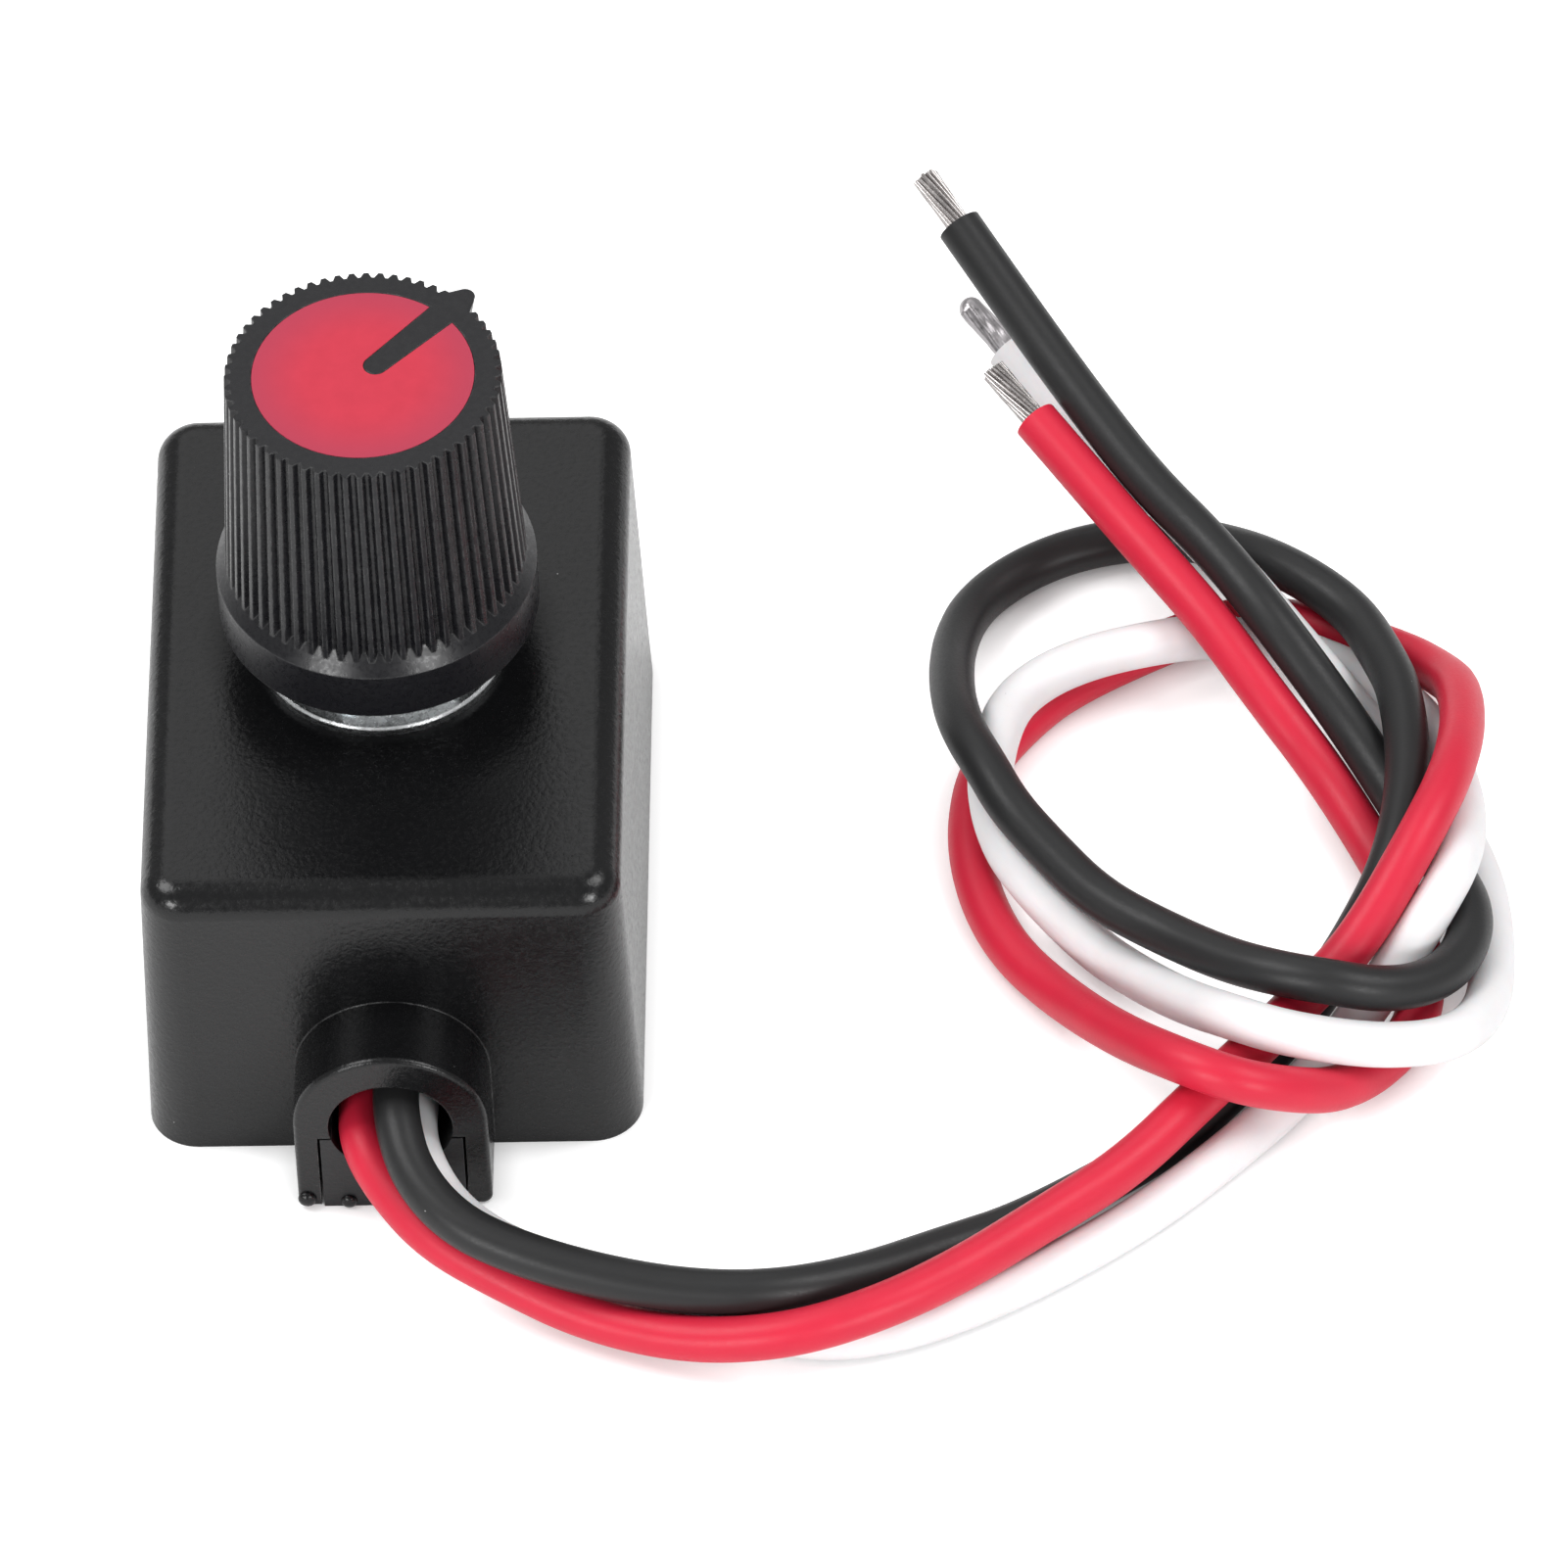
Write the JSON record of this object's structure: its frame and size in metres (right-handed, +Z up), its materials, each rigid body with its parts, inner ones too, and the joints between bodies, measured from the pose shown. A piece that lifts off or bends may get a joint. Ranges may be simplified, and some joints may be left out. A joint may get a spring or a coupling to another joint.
{
  "type": "rotary dimmer",
  "caption": "Small rotary dimmer for low-voltage lighting: a box with a ribbed turning knob on top and three loose stripped leads from an outlet at one end.",
  "frame": {"origin": "on the flat underside, at the middle of the case's footprint", "axes": "+Z up through the knob's axis, -Y towards the lead outlet, +X to the right seen from the outlet"},
  "size_m": [0.0681, 0.0693, 0.0376],
  "materials": {
    "case_plastic": "fine leathery moulded grain, satin",
    "cover_plastic": "fine moulded grain, satin",
    "board": "green solder mask over glass fibre",
    "capacitor_can": "dark sleeve over an aluminium can",
    "component_black": "matt black moulding compound",
    "chip_tan": "matt ceramic",
    "solder": "soft bright tin",
    "nickel_brass": "nickel-plated brass",
    "wafer_brown": "phenolic board",
    "carbon": "printed carbon film",
    "cup_steel": "drawn tinned steel",
    "zinc_steel": "bright zinc plate",
    "knob_plastic": "satin black with fine ribs",
    "disc_red": "satin pinkish red",
    "silicone_red": "satin silicone",
    "silicone_black": "satin silicone",
    "silicone_white": "satin silicone, slightly translucent",
    "tinned_copper": "fine tinned strands"
  },
  "bodies": {
    "housing": {"case_shell": "case_plastic", "bottom_cover": "cover_plastic", "circuit_board": "board", "electrolytic_capacitor": "capacitor_can", "flyback_diode": "component_black", "power_transistor": "component_black", "timer_chip": "component_black", "chip_resistors": "component_black", "chip_capacitors": "chip_tan", "solder_joints": "solder", "pot_bushing": "nickel_brass", "pot_wafer": "wafer_brown", "resistive_track": "carbon", "pot_terminals": "solder", "pot_cover": "cup_steel", "washer": "zinc_steel", "hex_nut": "zinc_steel", "red_lead": "silicone_red", "black_lead": "silicone_black", "white_lead": "silicone_white", "red_core": "tinned_copper", "black_core": "tinned_copper", "white_core": "tinned_copper"},
    "knob": {"knob_shell": "knob_plastic", "knob_disc": "disc_red", "pot_shaft": "nickel_brass", "shaft_clip": "zinc_steel", "wiper_rotor": "component_black", "wiper_contact": "nickel_brass"}
  },
  "joints": [
    {"name": "knob_turn", "type": "hinge", "parent": "housing", "child": "knob", "pos_m": [-0.00019, 0.00064, 0.03], "axis": [0, 0, 1], "range_deg": [-106, 194]}
  ]
}
